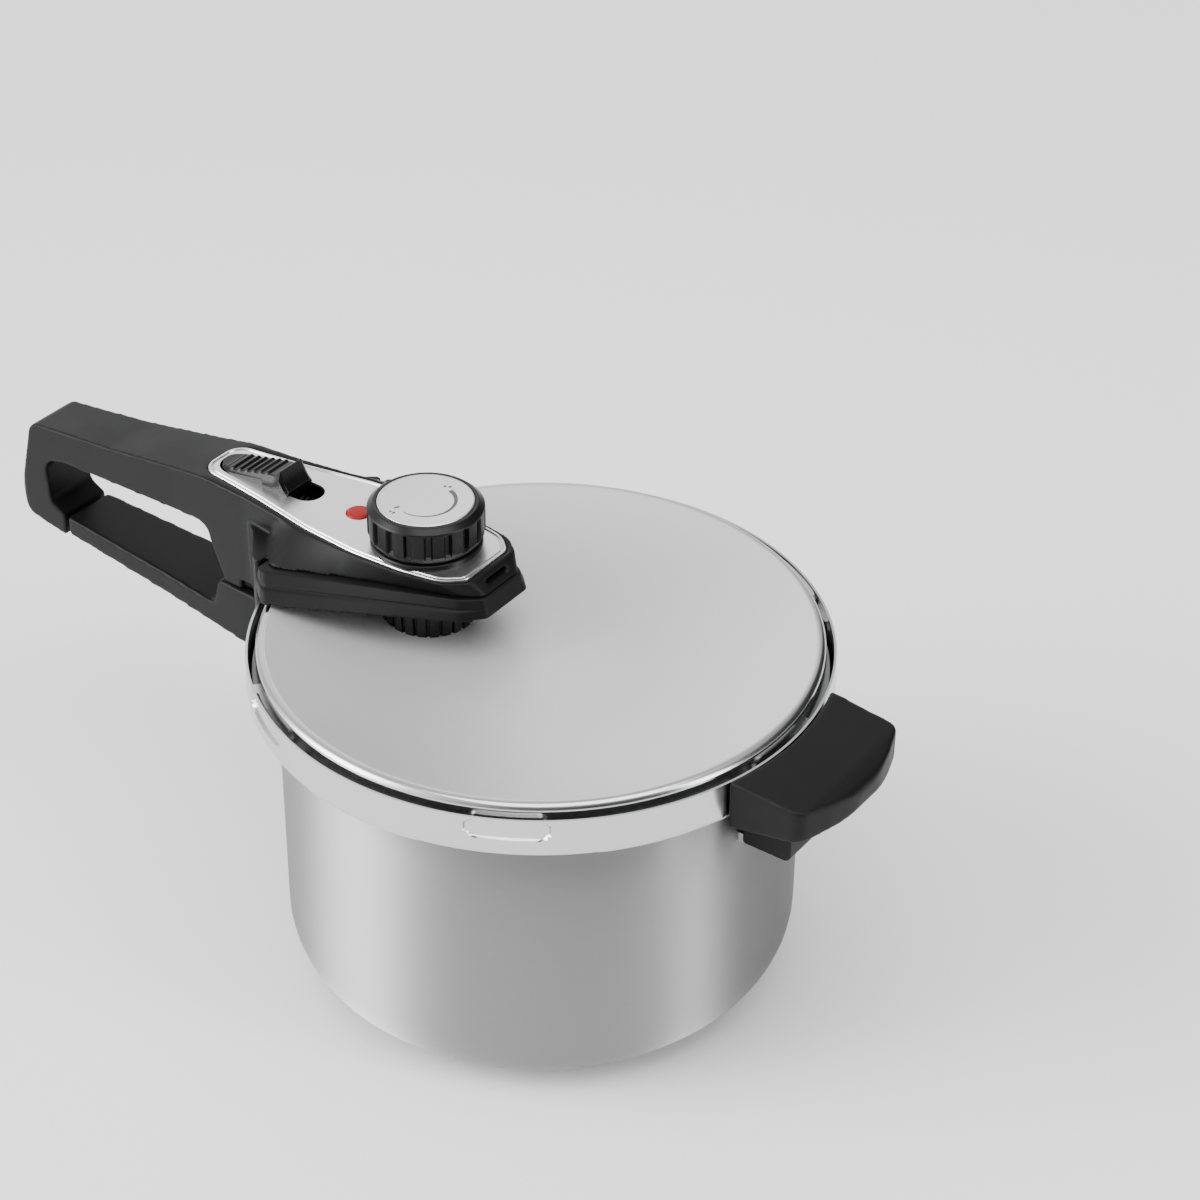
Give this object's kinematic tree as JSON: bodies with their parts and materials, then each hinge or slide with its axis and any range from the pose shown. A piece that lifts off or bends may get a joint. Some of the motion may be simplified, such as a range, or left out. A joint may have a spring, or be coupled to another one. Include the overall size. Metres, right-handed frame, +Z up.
{
  "type": "stovetop pressure cooker",
  "caption": "Steel stovetop pressure cooker: round pot with long and helper handles, and a bayonet lid with a locking handle, selector knob and pressure pin.",
  "frame": {"origin": "middle of the pot's underside", "axes": "+Z up the pot's axis, -X along the long handles, +X along the helper handle"},
  "size_m": [0.4503, 0.2466, 0.2044],
  "materials": {
    "brushed_steel": "vertically brushed",
    "polished_steel": "polished",
    "satin_steel": "satin",
    "aluminium_core": "plain",
    "handle_plastic": "fine matt texture",
    "gloss_black": "satin gloss",
    "red_plastic": "gloss",
    "silicone": "matt",
    "spring_steel": "wire"
  },
  "bodies": {
    "pot": {"pot_shell": "brushed_steel", "base_core": "aluminium_core", "base_pan": "brushed_steel", "pot_handle": "handle_plastic", "pot_bracket": "satin_steel", "pot_handle_screw": "satin_steel", "helper_handle": "handle_plastic", "helper_bracket": "satin_steel", "helper_lower_block": "handle_plastic", "helper_screw": "satin_steel"},
    "lid": {"lid_plate": "polished_steel", "lock_ring": "polished_steel", "gasket": "silicone", "lid_handle": "handle_plastic", "head_lower_shell": "handle_plastic", "trim_plate": "satin_steel", "knob_base": "gloss_black", "support_nut": "gloss_black", "head_screws": "satin_steel", "valve_tube": "satin_steel", "valve_nut": "satin_steel", "indicator_bush": "satin_steel", "valve_spring": "spring_steel", "lock_spring": "spring_steel"},
    "knob": {"pressure_knob": "gloss_black", "knob_cap": "satin_steel"},
    "plunger": {"valve_plunger": "satin_steel"},
    "indicator": {"indicator_button": "red_plastic", "indicator_stem": "satin_steel"},
    "lock": {"lock_slider": "gloss_black", "lock_hook": "satin_steel"}
  },
  "joints": [
    {"name": "lid_turn", "type": "hinge", "parent": "pot", "child": "lid", "pos_m": [0, 0, 0.15], "axis": [0, 0, 1], "range_deg": [0, 30]},
    {"name": "knob_turn", "type": "hinge", "parent": "lid", "child": "knob", "pos_m": [-0.06, 0, 0.19], "axis": [0, 0, 1], "range_deg": [0, 130]},
    {"name": "plunger_lift", "type": "slide", "parent": "lid", "child": "plunger", "axis": [0, 0, 1], "range_m": [0, 0.002], "stiffness_N_per_m": 2000, "springref_m": -0.0005, "deforming": ["valve_spring"]},
    {"name": "indicator_rise", "type": "slide", "parent": "lid", "child": "indicator", "axis": [0, 0, 1], "range_m": [0, 0.005], "stiffness_N_per_m": 40, "springref_m": -0.001},
    {"name": "lock_slide", "type": "slide", "parent": "lid", "child": "lock", "axis": [1, 0, 0], "range_m": [0, 0.009], "stiffness_N_per_m": 300, "springref_m": -0.002, "deforming": ["lock_spring"]}
  ]
}
